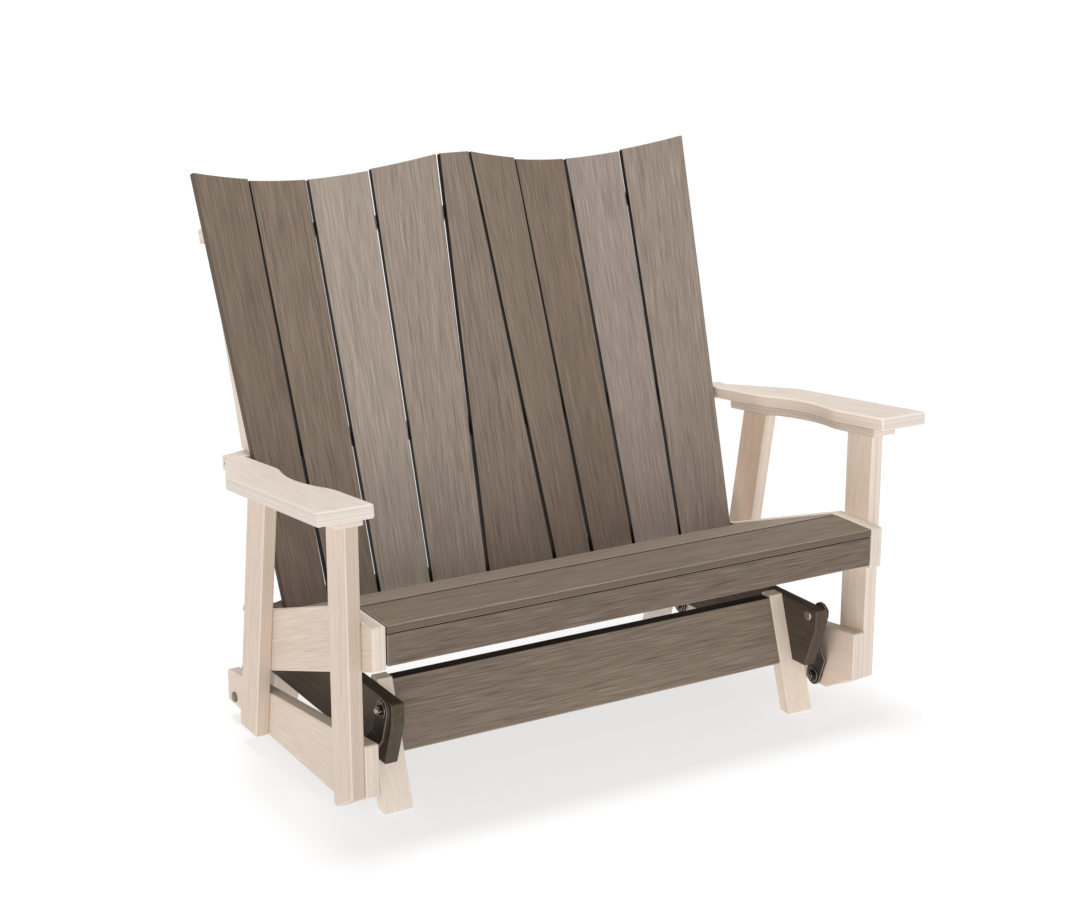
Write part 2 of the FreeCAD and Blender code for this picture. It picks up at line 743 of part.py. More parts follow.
def hardware(pivot, surface, direction):
    """Bolt, washers and nut at one pivot, and the hole for the bolt in its rail.

    surface is the X of the face of the rail that the arm hangs beside."""
    face = Vector(surface, pivot[0], pivot[1])
    head_face = face - direction * board
    hole = bolt_radius + loose_clearance
    inner_washer = ring(face, direction, washer_radius, hole, washer_thickness)
    outer_washer = ring(face + direction * (stack_end - washer_thickness), direction, washer_radius, hole,
                        washer_thickness)
    return {
        "bolt": carriage_bolt(head_face, direction, bolt_length),
        "washers": Part.makeCompound([inner_washer, outer_washer]),
        "nut": nut(face + direction * stack_end, direction, nut_height),
        "hole": rod(head_face - direction * board, direction, hole, 3.0 * board),
    }


swing_arm_front, arm_bushes_front = swing_arm(pivot_front_upper, pivot_front_lower, running_bush)
swing_arm_rear, arm_bushes_rear = swing_arm(pivot_rear_upper, pivot_rear_lower, open_bush)
upper_hardware = []
lower_hardware = []
for upper, lower in ((pivot_front_upper, pivot_front_lower), (pivot_rear_upper, pivot_rear_lower)):
    upper_hardware.append(hardware(upper, base_rail_outside, outward))
    lower_hardware.append(hardware(lower, seat_inside, inward))
base_rail = bored(base_rail, [piece["hole"] for piece in upper_hardware])
lower_rail = bored(lower_rail, [piece["hole"] for piece in lower_hardware])


def hardware_group(sets, kind):
    """One kind of hardware at all the pivots of both sides."""
    right = [piece[kind] for piece in sets]
    return Part.makeCompound(right + [mirrored(piece) for piece in right])


# Screws of the seat frame, on the right: from the rails into the legs
rail_screw = 1.4 * board
plug_seat = seat_inside + plug_depth - screw_sink
rail_places = []
front_leg_middle = front_leg_front + front_leg_width / 2.0


def seat_rail_span(y):
    """Lowest and highest points of the seat rail at y."""
    return seat_rail_bottom - (y - seat_front) * seat_tangent, seat_top(y)


def lower_rail_span(y):
    """Lowest and highest points of the lower rail at y."""
    fall = (lower_rail_front_top - lower_rail_rear_top) / (lower_rail_rear - lower_rail_front)
    toe = lower_rail_toe_height * (1.0 - (y - lower_rail_front) / lower_rail_toe_length)
    return lower_rail_bottom + max(0.0, toe), lower_rail_front_top - (y - lower_rail_front) * fall


for span in (seat_rail_span, lower_rail_span):
    for part in (0.32, 0.72):
        low, high = span(front_leg_middle)
        height = low + part * (high - low)
        rail_places.append((Vector(plug_seat, front_leg_middle, height), outward, rail_screw))
        height = rear_leg_bottom
        for repeat in range(8):
            low, high = span(rear_leg_line(height, 0.0))
            height = low + part * (high - low)
        rail_places.append((Vector(plug_seat, rear_leg_line(height, 0.0), height), outward, rail_screw))
plugs = []
for start, direction, length in rail_places:
    face = Vector(seat_inside, start.y, start.z)
    plugs.append(rod(face, outward, screw_head_radius + loose_clearance, plug_depth))
rail_places = mirror_places(rail_places)


def arm_point(x, along, depth):
    """A point in the frame of the armrest: along it from the front, and below its top."""
    tilt = math.radians(arm_tilt)
    y = arm_front + along * math.cos(tilt) - depth * math.sin(tilt)
    z = arm_front_top - along * math.sin(tilt) - depth * math.cos(tilt)
    return Vector(x, y, z)


# Up through the support into the armrest, and down through the support into the tops of the legs
arm_up = arm_point(0, 0, -1) - arm_point(0, 0, 0)
support_screw_x = leg_outside + 2.0 * screw_head_radius
armrest_places = []
for along in (support_start + board, (scoop_start + scoop_end) / 2.0, support_end - 2.0 * board):
    armrest_places.append((arm_point(support_screw_x, along, arm_board + support_board), arm_up,
                           support_board + arm_board / 2.0))
armrest_places = mirror_places(armrest_places)
leg_screw_x = (seat_outside + leg_outside) / 2.0
rear_leg_along = ((rear_leg_top_front[0] + rear_leg_top_rear[0]) / 2.0 - arm_front) / arm_cosine
leg_tops = [(front_leg_middle - arm_front) / arm_cosine, rear_leg_along]
leg_top_places = []
for along in leg_tops:
    for side in (-front_leg_width / 4.0, front_leg_width / 4.0):
        leg_top_places.append((arm_point(leg_screw_x, along + side, arm_board), arm_up * -1.0,
                               support_board + 1.5 * board))
leg_top_places = mirror_places(leg_top_places)

# Up through the cleats into the seat slats
cleat_screw_x = seat_inside - board / 2.0
cleat_screw = cleat_height + 0.6 * seat_board
flat_middle = (apron_rear + cleat_bend) / 2.0
cleat_places = [(Vector(cleat_screw_x, flat_middle, flat_under - cleat_height), Vector(0, 0, 1), cleat_screw)]
slope_up = Vector(0, slope_sine, slope_cosine)
for number in range(sloped_slats):
    along = (number + 0.5) * sloped_pitch
    depth = seat_board + cleat_height * slope_cosine
    start = Vector(cleat_screw_x, seat_break + along * slope_cosine, seat_height - along * slope_sine)
    cleat_places.append((start - slope_up * depth, slope_up, cleat_height * slope_cosine + 0.6 * seat_board))
cleat_places = mirror_places(cleat_places)
frame_places = rail_places + armrest_places + leg_top_places + cleat_places

# Screws of the back: through the braces into the slats, and into the armrests and the middle brace
back_places = []
slat_screw = 1.5 * back_board
brace_grip = 1.0 * back_board
upper_screw_height = upper_brace_low + board / 2.0
for slat in slats:
    rise = (upper_screw_height - slat.foot.z) / slat.up.z
    start = slat.at(0.0, rise, back_board + brace_grip)
    back_places.append((raked_point(start), raked_direction(slat.back * -1.0), slat_screw))
    for height in (middle_brace_middle, lower_brace_top - board / 2.0):
        level_back = raked_direction(slat.back)
        level_back = Vector(level_back.x, level_back.y, 0.0).normalize()
        rise = 0.0
        for repeat in range(6):
            spot = raked_point(slat.at(0.0, rise, back_board))
            rise = rise + (height - spot.z)
        back_places.append((spot + level_back * brace_grip, level_back * -1.0, slat_screw))
back_places.append((Vector((arm_inside + arm_rear_outside) / 2.0, arm_rear + board, middle_brace_middle),
                    Vector(0, -1, 0), 2.2 * board))
end_screw = Vector(middle_brace_end, arm_rear + 0.6 * board, middle_brace_middle)
back_places.append((end_screw, inward, board / 2.0))
back_places = mirror_places(back_places)
middle_screw = raked_point(Vector(0.0, back_board + brace_grip, upper_screw_height))
back_places.append((middle_screw, raked_direction(Vector(0, -1, 0)), slat_screw))
for height in (middle_brace_middle, lower_brace_top - board / 2.0):
    front_y = back_foot_y + (height - back_foot_z) * rake_tangent
    start = Vector(0.0, front_y + slat_level_depth + brace_grip, height)
    back_places.append((start, Vector(0, -1, 0), slat_screw))

# Screws of the base, on the right: from the rails into the legs, and from the legs into the stretchers
base_rail_places = []
stretcher_places = []
for foot, slope in ((base_front_foot, splay_tangent), (base_rear_foot, -splay_tangent)):
    for part in (0.15, 0.82):
        height = base_rail_bottom + part * (base_rail_top - base_rail_bottom)
        middle = foot + slope * height + splay_thickness / 2.0
        base_rail_places.append((Vector(base_rail_outside, middle, height), inward, 1.9 * board))
    for part in (0.35, 0.62):
        height = base_rail_bottom + part * (base_rail_top - base_rail_bottom)
        middle = foot + slope * height + splay_thickness / 2.0
        stretcher_places.append((Vector(base_rail_inside, middle, height), inward, 2.5 * board))
base_rail_places = mirror_places(base_rail_places)
stretcher_places = mirror_places(stretcher_places)
base_places = base_rail_places + stretcher_places

# Every piece with its name, and the screws that go through it
pieces = {}
drilled = {}


def keep(name, shape, places):
    """Keeps one piece under its name."""
    pieces[name] = shape
    drilled[name] = places


def keep_pair(name, shape, places):
    """Keeps a piece and its mirror image."""
    keep(name + "_right", shape, places)
    keep(name + "_left", mirrored(shape), places)


keep_pair("base_rail", base_rail, base_rail_places)
keep_pair("base_leg_front", base_leg_front, base_places)
keep_pair("base_leg_rear", base_leg_rear, base_places)
keep("base_stretcher_front", base_stretcher_front, stretcher_places)
keep("base_stretcher_rear", base_stretcher_rear, stretcher_places)
keep_pair("swing_arm_front", swing_arm_front, [])
keep_pair("swing_arm_rear", swing_arm_rear, [])
keep_pair("arm_bushes_front", arm_bushes_front, [])
keep_pair("arm_bushes_rear", arm_bushes_rear, [])
keep_pair("front_leg", front_leg, rail_places + leg_top_places)
keep_pair("rear_leg", rear_leg, rail_places + leg_top_places)
keep_pair("lower_rail", lower_rail, rail_places)
keep_pair("seat_rail", seat_rail, rail_places)
keep_pair("arm_support", arm_support, armrest_places + leg_top_places)
keep_pair("armrest", armrest, armrest_places + back_places)
keep_pair("seat_cleat", cleat, cleat_places)
keep("seat_centre_rail", seat_centre_rail, [])
keep("seat_apron", seat_apron, [])
keep("seat_slat_1", seat_slat_1, cleat_places)
for number, solid in enumerate(sloped_boards):
    keep("seat_slat_%d" % (number + 2), solid, cleat_places)
for number, solid in enumerate(fan_boards):
    keep("back_slat_%d" % (fan_slats + 2 + number), raked(solid), back_places)
    keep("back_slat_%d" % (fan_slats - number), raked(mirrored(solid)), back_places)
keep("back_slat_%d" % (fan_slats + 1), raked(middle_board), back_places)
keep("back_brace_upper", back_brace_upper, back_places)
keep("back_brace_middle", back_brace_middle, back_places)
keep("back_brace_lower", back_brace_lower, back_places)
keep_pair("back_post", back_post, [])
keep("upper_pivot_bolts", hardware_group(upper_hardware, "bolt"), [])
keep("upper_pivot_washers", hardware_group(upper_hardware, "washers"), [])
keep("upper_pivot_nuts", hardware_group(upper_hardware, "nut"), [])
keep("lower_pivot_bolts", hardware_group(lower_hardware, "bolt"), [])
keep("lower_pivot_washers", hardware_group(lower_hardware, "washers"), [])
keep("lower_pivot_nuts", hardware_group(lower_hardware, "nut"), [])
keep("screw_plugs", Part.makeCompound(plugs + [mirrored(plug) for plug in plugs]), [])

for name in pieces:
    pieces[name] = bored(pieces[name], [screw_hole(*place) for place in drilled[name]])
screw_groups = {"frame_screws": frame_places, "back_screws": back_places, "base_screws": base_places}
for name, places in screw_groups.items():
    pieces[name] = Part.makeCompound([screw(*place) for place in places])

# The origin on the floor, under the middle of the glider
whole = Part.makeCompound(list(pieces.values())).optimalBoundingBox()
shift = -(whole.YMin + whole.YMax) / 2.0
os.makedirs("parts", exist_ok=True)
for name, shape in pieces.items():
    shape.translate(Vector(0, shift, 0))
    shape.exportStep("parts/%s.step" % name)

print("pieces", len(pieces))
print("size", round(whole.XLength, 1), round(whole.YLength, 1), round(whole.ZLength, 1))
print("lowest point", round(whole.ZMin, 3))
print("shift along Y", round(shift, 4))
for label, pivot in (("front upper", pivot_front_upper), ("front lower", pivot_front_lower),
                     ("rear upper", pivot_rear_upper), ("rear lower", pivot_rear_lower)):
    print("pivot", label, round(pivot[0] + shift, 4), pivot[1])
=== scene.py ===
# %% [markdown]
# A double porch glider in Blender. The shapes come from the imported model: every board, bolt and swing arm
# is already there at its real size, in metres, with +X along the bench, +Y to the back and +Z up. What is
# left to make is how the glider looks: the streaky grain of its plastic lumber, the powder coat on its
# steel, the light and the camera.

# %% Load the model
import math

import bpy
import numpy as np
from mathutils import Matrix, Vector

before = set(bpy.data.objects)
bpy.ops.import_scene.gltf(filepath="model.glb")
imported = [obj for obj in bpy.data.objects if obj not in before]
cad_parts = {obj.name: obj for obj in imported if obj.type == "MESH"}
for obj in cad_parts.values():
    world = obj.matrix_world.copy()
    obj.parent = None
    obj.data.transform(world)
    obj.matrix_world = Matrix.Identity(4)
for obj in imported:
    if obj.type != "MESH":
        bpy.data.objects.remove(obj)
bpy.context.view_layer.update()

# %% [markdown]
# The camera stands where the photograph was taken from. Its place and its angles were solved from the
# corners of the boards in the photograph, so they are written down as numbers. A camera looks along its own
# -Z, so the three columns of its matrix are the directions right, up and back towards the viewer.

# %% Camera
PHOTO_WIDTH = 1067
SENSOR_MM = 36.0
FOCAL_PIXELS = 2046.37
CAMERA_PLACE = Vector((-2.0366, -3.5165, 1.7198))
CAMERA_AZIMUTH = math.radians(-30.077)
CAMERA_ELEVATION = math.radians(15.723)
CAMERA_ROLL = math.radians(-0.135)
CENTRE_SHIFT_PIXELS = 1.1
FARTHEST_SEEN = 200.0

level = math.cos(CAMERA_ELEVATION)
flat_back = Vector((math.sin(CAMERA_AZIMUTH), -math.cos(CAMERA_AZIMUTH), 0.0))
back = flat_back * level + Vector((0.0, 0.0, math.sin(CAMERA_ELEVATION)))
flat_right = Vector((math.cos(CAMERA_AZIMUTH), math.sin(CAMERA_AZIMUTH), 0.0))
flat_up = back.cross(flat_right)
right = flat_right * math.cos(CAMERA_ROLL) + flat_up * math.sin(CAMERA_ROLL)
up = flat_up * math.cos(CAMERA_ROLL) - flat_right * math.sin(CAMERA_ROLL)

camera_data = bpy.data.cameras.new("photo_camera")
camera_data.sensor_width = SENSOR_MM
camera_data.sensor_fit = "HORIZONTAL"
camera_data.lens = FOCAL_PIXELS / PHOTO_WIDTH * SENSOR_MM
camera_data.shift_x = -CENTRE_SHIFT_PIXELS / PHOTO_WIDTH
camera_data.clip_end = FARTHEST_SEEN
camera = bpy.data.objects.new("photo_camera", camera_data)
turn = Matrix((right, up, back)).transposed()
camera.matrix_world = Matrix.Translation(CAMERA_PLACE) @ turn.to_4x4()
bpy.context.collection.objects.link(camera)
bpy.context.scene.camera = camera
print("camera lens", round(camera_data.lens, 2), "mm")

# %% [markdown]
# Colours are picked as sRGB hex values, the way a colour picker shows them. Shaders want linear light, so
# one function turns the one into the other, with the numbers of the sRGB standard. A second small function
# adds a shader node, sets it and links it, so that a material reads as a list of steps. A socket is named
# by its label, or by the letter i and its number where several sockets share a label.


# %% Helpers for colours and nodes
def linear(hex_colour):
    """An sRGB hex colour as linear red, green, blue and alpha."""
    channels = []
    for place in (1, 3, 5):
        value = int(hex_colour[place:place + 2], 16) / 255.0
        channels.append(value / 12.92 if value <= 0.04045 else ((value + 0.055) / 1.055) ** 2.4)
    return (*channels, 1.0)


def add(tree, kind, settings=None, **links):
    """Adds a node. settings are its properties or socket values, links are the sockets that feed it."""
    node = tree.nodes.new(kind)
    for name, value in (settings or {}).items():
        if hasattr(node, name):
            setattr(node, name, value)
        else:
            socket = node.inputs[int(name[1:])] if name[1:].isdigit() else node.inputs[name]
            socket.default_value = value
    for name, socket in links.items():
        target = node.inputs[int(name[1:])] if name[1:].isdigit() else node.inputs[name.replace("_", " ")]
        tree.links.new(socket, target)
    return node


def new_material(name):
    """An empty material with its node tree and its shader."""
    material = bpy.data.materials.new(name)
    material.use_nodes = True
    return material, material.node_tree, material.node_tree.nodes["Principled BSDF"]


WHITE = linear("#ffffff")
print("white is", [round(channel, 3) for channel in WHITE])

# %% [markdown]
# The floor is a light table: a sheet of white acrylic that glows a little from below, so that the shadow on
# it stays pale. Its face is sanded, so it has no shine. A darker shadow would come from a plain white
# floor, which has no light of its own. The standard view transform keeps picked colours as they are.

# %% Floor
bpy.context.scene.view_settings.view_transform = "Standard"
FLOOR_HALF = 60.0
ACRYLIC_ROUGHNESS = 0.9
ACRYLIC_GLOW = 0.682
corners = [(-FLOOR_HALF, -FLOOR_HALF, 0), (FLOOR_HALF, -FLOOR_HALF, 0), (FLOOR_HALF, FLOOR_HALF, 0),
           (-FLOOR_HALF, FLOOR_HALF, 0)]
floor_mesh = bpy.data.meshes.new("light_table")
floor_mesh.from_pydata(corners, [], [(0, 1, 2, 3)])
floor = bpy.data.objects.new("light_table", floor_mesh)
bpy.context.collection.objects.link(floor)
acrylic, _, acrylic_shader = new_material("glowing_white_acrylic")
acrylic_shader.inputs["Base Color"].default_value = linear("#a0a0a0")
acrylic_shader.inputs["Roughness"].default_value = ACRYLIC_ROUGHNESS
acrylic_shader.inputs["Specular IOR Level"].default_value = 0.0
acrylic_shader.inputs["Emission Color"].default_value = WHITE
acrylic_shader.inputs["Emission Strength"].default_value = ACRYLIC_GLOW
floor_mesh.materials.append(acrylic)
print("floor", 2 * FLOOR_HALF, "m wide")

# %% [markdown]
# A white backdrop goes all round the floor, so that the horizon never shows, and the studio is dimmer above
# it. A curved wall could be modelled for that, but the world of the scene can do both at once: its light
# depends on how steeply a ray goes up.

# %% Backdrop
# The backdrop ends softly between these heights, as parts of the way from the horizon to straight up
BACKDROP_FADE = (0.22, 0.42)
BACKDROP_LIGHT = 1.0
CEILING_LIGHT = 0.36
studio = bpy.data.worlds.new("white_studio")
studio.use_nodes = True
studio_light = studio.node_tree.nodes["Background"]
studio_light.inputs["Color"].default_value = WHITE
look = add(studio.node_tree, "ShaderNodeTexCoord")
steepness = add(studio.node_tree, "ShaderNodeSeparateXYZ", Vector=look.outputs["Generated"])
fade = add(studio.node_tree, "ShaderNodeMapRange",
           {"From Min": BACKDROP_FADE[0], "From Max": BACKDROP_FADE[1], "To Min": BACKDROP_LIGHT,
            "To Max": CEILING_LIGHT}, Value=steepness.outputs["Z"])
studio.node_tree.links.new(fade.outputs["Result"], studio_light.inputs["Strength"])
bpy.context.scene.world = studio
print("backdrop light", BACKDROP_LIGHT, "ceiling light", CEILING_LIGHT)

# %% [markdown]
# A wide lamp overhead leaves the shadow, a low one beside the camera lights the faces turned to the viewer,
# and a warm one warms the left sides of the boards. Area lamps would light the near floor more than the far
# floor. Sun lamps light both alike, so the background stays one white.


# %% Lamps
def sun(name, towards, strength, spread, colour="#ffffff"):
    """A sun lamp that shines along a direction. spread is the size of the soft light in degrees."""
    lamp = bpy.data.lights.new(name, "SUN")
    lamp.energy = strength
    lamp.angle = math.radians(spread)
    lamp.color = linear(colour)[:3]
    stand = bpy.data.objects.new(name, lamp)
    stand.rotation_mode = "QUATERNION"
    stand.rotation_quaternion = Vector(towards).to_track_quat("-Z", "Y")
    bpy.context.collection.objects.link(stand)
    return stand


lamps = [
    sun("overhead_softbox", towards=(0.0, -0.08, -1.0), strength=1.75, spread=14.0),
    sun("camera_softbox", towards=(0.3, 0.9, -0.12), strength=0.56, spread=35.0),
    sun("warm_side_lamp", towards=(0.9, 0.3, -0.3), strength=0.46, spread=45.0, colour="#ffe4d0"),
]
print("lamps", [lamp.name for lamp in lamps])

# %% [markdown]
# Poly lumber is recycled HDPE, extruded as boards. Streams of two shades of pigment smear out along the
# board as it leaves the die, so it has a streaky grain that runs its whole length, and it is a matt plastic
# to touch. To draw that grain along a board, the board's own directions are needed. They can be read from
# its faces: the widest faces look along its thickness, the long edges look along its width, and what is
# left is its length.


# %% Directions of a board
def board_axes(node):
    """The length, width and thickness directions of a board, from the areas and normals of its faces."""
    facing = np.zeros((3, 3))
    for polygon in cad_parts[node].data.polygons:
        normal = np.array(polygon.normal)
        facing += polygon.area * np.outer(normal, normal)
    directions = np.linalg.eigh(facing)[1]
    along, across = Vector(directions[:, 0]), Vector(directions[:, 1])
    if max(across) < -min(across):
        across = -across
    return along, across, along.cross(across)


print("a back slat runs along", [round(part, 3) for part in board_axes("back_slat_5")[0]])

# %% [markdown]
# The grain could come from a picture of a board, but noise fits a board of any size and never repeats. It
# has three layers, all stretched along the board: broad bands, streaks and short fibres. A fourth layer is
# for the narrow faces. They slid along the lips of the die, which left lines there that change only through
# the thickness. Real fibres are thinner than half a millimetre and would vanish in the render, so they are
# drawn as wide as they need to be to show.

# %% Layers of grain
MM = 0.001
# Length, width and thickness of one patch of each layer
PATCHES = {
    "bands": (3000.0 * MM, 26.0 * MM, 60.0 * MM),
    "streaks": (260.0 * MM, 3.8 * MM, 8.0 * MM),
    "fibres": (85.0 * MM, 1.3 * MM, 1.3 * MM),
    "die_lines": (1400.0 * MM, 4000.0 * MM, 3.6 * MM),
}
PATCH_NOISE = {"Scale": 1.0, "Detail": 2.0, "Roughness": 0.6, "Distortion": 0.15}


def grain_layers(tree, board_spot):
    """The strength of each layer at a spot of a board, from 0 to 1."""
    layers = {}
    for name, patch in PATCHES.items():
        scale = tuple(1.0 / size for size in patch)
        stretched = add(tree, "ShaderNodeVectorMath", {"operation": "MULTIPLY", "i1": scale}, i0=board_spot)
        noise = add(tree, "ShaderNodeTexNoise", PATCH_NOISE, Vector=stretched.outputs["Vector"])
        layers[name] = noise.outputs["Fac"]
    return layers


print("layers of grain", list(PATCHES))

# %% [markdown]
# The bands, streaks and fibres add up to one number that picks a shade between the board's two pigments. A
# flat spot on the wide face has a flatness of 1, and a narrow face has 0. In between lies the rounded edge,
# which gets a painted highlight, a little lighter.

# %% Shade and edges
# How much each layer counts in the shade
SHARES = {"bands": 0.5, "streaks": 0.5, "fibres": 3.5}
# How strong the painted highlight on the rounded edges is, and the flatness where it starts, is full, fades
# and ends. The narrow face begins where it fades.
EDGE_HIGHLIGHT_STRENGTH = 0.45
HIGHLIGHT_STARTS, HIGHLIGHT_FULL, HIGHLIGHT_FADES, HIGHLIGHT_ENDS = 0.97, 0.8, 0.6, 0.25


def pigment_mix(tree, layers, dark, light):
    """The colour of the grain. The shade may go a little past either pigment."""
    start = 0.5 - sum(SHARES.values()) / 2.0
    bands = add(tree, "ShaderNodeMath", {"operation": "MULTIPLY_ADD", "i1": SHARES["bands"], "i2": start},
                i0=layers["bands"])
    streaks = add(tree, "ShaderNodeMath", {"operation": "MULTIPLY_ADD", "i1": SHARES["streaks"]},
                  i0=layers["streaks"], i2=bands.outputs["Value"])
    shade = add(tree, "ShaderNodeMath", {"operation": "MULTIPLY_ADD", "i1": SHARES["fibres"]},
                i0=layers["fibres"], i2=streaks.outputs["Value"])
    mixed = add(tree, "ShaderNodeMix",
                {"data_type": "RGBA", "clamp_factor": False, "i6": linear(dark), "i7": linear(light)},
                i0=shade.outputs["Value"])
    return mixed.outputs[2]


def edge_highlight_mask(tree, flatness):
    """A mask of the rounded edges between the wide and the narrow faces, where a painted highlight goes."""
    begun = add(tree, "ShaderNodeMapRange", {"From Min": HIGHLIGHT_STARTS, "From Max": HIGHLIGHT_FULL, "To Max": EDGE_HIGHLIGHT_STRENGTH},
                Value=flatness)
    return add(tree, "ShaderNodeMapRange", {"From Min": HIGHLIGHT_ENDS, "From Max": HIGHLIGHT_FADES}, Value=flatness,
               To_Max=begun.outputs["Result"])


print("shares", SHARES)

# %% [markdown]
# Coats of other colours lie over the grain, one after the other. The narrow faces of some boards have a
# colour of their own, on some boards a painted light or painted shade. The rounded edges get a painted
# highlight. The sides in gaps and joints get a painted shade, dark as the board's core, and the foot of a
# back slat, near the seat, gets a painted shade as well. Last come the lines of the die. Each board has its
# own copy of the material, since its grain starts at its own place. HDPE has a waxy, matt face, so its shine
# is weak.

# %% Poly lumber
NARROW_COVER = 0.8
# How far a face has to look sideways for the colour of a side to start and to be full
SIDE_STARTS, SIDE_FULL = 0.3, 0.7
# Painted shade at the foot of a back slat, near the seat, and how far up it fades
FOOT_SHADE = "#40362d"
FOOT_SHADE_COVER = 0.22
FOOT_SHADE_HEIGHT = 0.3
# The lines of the die are this much darker or lighter, and their noise is sharpened between these values
LINE_DEPTH = 0.085
LINE_LOW, LINE_HIGH = 0.35, 0.65
HDPE_IOR = 1.5
HDPE_SHINE = 0.22
# Roughness where the streaks are weakest and where they are strongest
BOARD_ROUGHNESS = (0.68, 0.5)
GRAIN_BUMP = {"Strength": 0.2, "Distance": 0.3 * MM}


def poly_lumber(node, dark, light, edge_highlight, place, narrow=None, minus_side=None, plus_side=None, shaded_below=None):
    """Plastic lumber for one board. narrow is another colour for its narrow faces, minus_side and plus_side
    are the colours of the sides that look along minus or plus its width. shaded_below is the height up to
    which the board gets a painted shade, darker towards the bottom."""
    material, tree, shader = new_material("poly_lumber_" + node)
    turn = Matrix(board_axes(node)).to_euler()
    spot = add(tree, "ShaderNodeTexCoord")
    board_spot = add(tree, "ShaderNodeMapping", {"Rotation": turn, "Location": place},
                     Vector=spot.outputs["Object"])
    board_normal = add(tree, "ShaderNodeMapping", {"vector_type": "NORMAL", "Rotation": turn},
                       Vector=spot.outputs["Normal"])
    facing = add(tree, "ShaderNodeSeparateXYZ", Vector=board_normal.outputs["Vector"])
    flatness = add(tree, "ShaderNodeMath", {"operation": "ABSOLUTE"}, i0=facing.outputs["Z"]).outputs["Value"]
    layers = grain_layers(tree, board_spot.outputs["Vector"])

    coats = []
    if narrow:
        covered = {"From Min": HIGHLIGHT_FADES, "From Max": HIGHLIGHT_ENDS, "To Max": NARROW_COVER}
        coats.append((narrow, add(tree, "ShaderNodeMapRange", covered, Value=flatness)))
    # Painted highlight on the rounded edges
    coats.append((edge_highlight, edge_highlight_mask(tree, flatness)))
    # Painted shade, darker towards the bottom
    if shaded_below:
        height = add(tree, "ShaderNodeSeparateXYZ", Vector=spot.outputs["Object"])
        covered = {"From Min": shaded_below - FOOT_SHADE_HEIGHT, "From Max": shaded_below, "To Min": FOOT_SHADE_COVER, "To Max": 0.0}
        coats.append((FOOT_SHADE, add(tree, "ShaderNodeMapRange", covered, Value=height.outputs["Z"])))
    # Sides along the width: painted shade in gaps, painted light or shade on some pale boards, factory edges
    for side_colour, way in ((minus_side, -1.0), (plus_side, 1.0)):
        if side_colour:
            covered = {"From Min": way * SIDE_STARTS, "From Max": way * SIDE_FULL}
            coats.append((side_colour, add(tree, "ShaderNodeMapRange", covered, Value=facing.outputs["Y"])))
    colour = pigment_mix(tree, layers, dark, light)
    for coat, mask in coats:
        colour = add(tree, "ShaderNodeMix", {"data_type": "RGBA", "i7": linear(coat)},
                     i0=mask.outputs["Result"], i6=colour).outputs[2]

    edgewise = add(tree, "ShaderNodeMapRange", {"From Min": HIGHLIGHT_FADES, "From Max": HIGHLIGHT_ENDS}, Value=flatness)
    lines = add(tree, "ShaderNodeMapRange",
                {"From Min": LINE_LOW, "From Max": LINE_HIGH, "To Min": -LINE_DEPTH, "To Max": LINE_DEPTH},
                Value=layers["die_lines"])
    strength = add(tree, "ShaderNodeMath", {"operation": "MULTIPLY_ADD", "i2": 1.0},
                   i0=lines.outputs["Result"], i1=edgewise.outputs["Result"])
    lined = add(tree, "ShaderNodeVectorMath", {"operation": "SCALE"}, i0=colour,
                Scale=strength.outputs["Value"])
    tree.links.new(lined.outputs["Vector"], shader.inputs["Base Color"])
    rough = add(tree, "ShaderNodeMapRange", {"To Min": BOARD_ROUGHNESS[0], "To Max": BOARD_ROUGHNESS[1]},
                Value=layers["streaks"])
    tree.links.new(rough.outputs["Result"], shader.inputs["Roughness"])
    ridges = add(tree, "ShaderNodeMath", {"operation": "ADD"}, i0=layers["streaks"], i1=layers["fibres"])
    bump = add(tree, "ShaderNodeBump", GRAIN_BUMP, Height=ridges.outputs["Value"])
    tree.links.new(bump.outputs["Normal"], shader.inputs["Normal"])
    shader.inputs["IOR"].default_value = HDPE_IOR
    shader.inputs["Specular IOR Level"].default_value = HDPE_SHINE
    return material


print("poly lumber shine", HDPE_SHINE, "roughness", BOARD_ROUGHNESS)

# %% [markdown]
# The frame is a pale birch shade. Most of its boards share one pair of pigments. Those at the right end and
# the front legs of the base stand in shade, so they get lighter, warmer pigments as painted light. Those at
# the left end get slightly darker ones as painted shade, and so do the narrow faces of the two legs on the
# left. Some sides and narrow faces get their own painted light or shade. One material for all boards would
# show the same streaks on each, so each board has its own, which starts elsewhere in the noise. The plugs
# over the screws are cut from the same lumber.

# %% Pale frame boards
# edge_highlight is the colour of the painted highlight on the rounded edges
BIRCH = {"dark": "#d9ccbf", "light": "#ebe0d5", "edge_highlight": "#f4ede5"}
# The narrow faces of boards with painted light keep a plain shade
PLAIN_EDGE = "#ddd1c6"
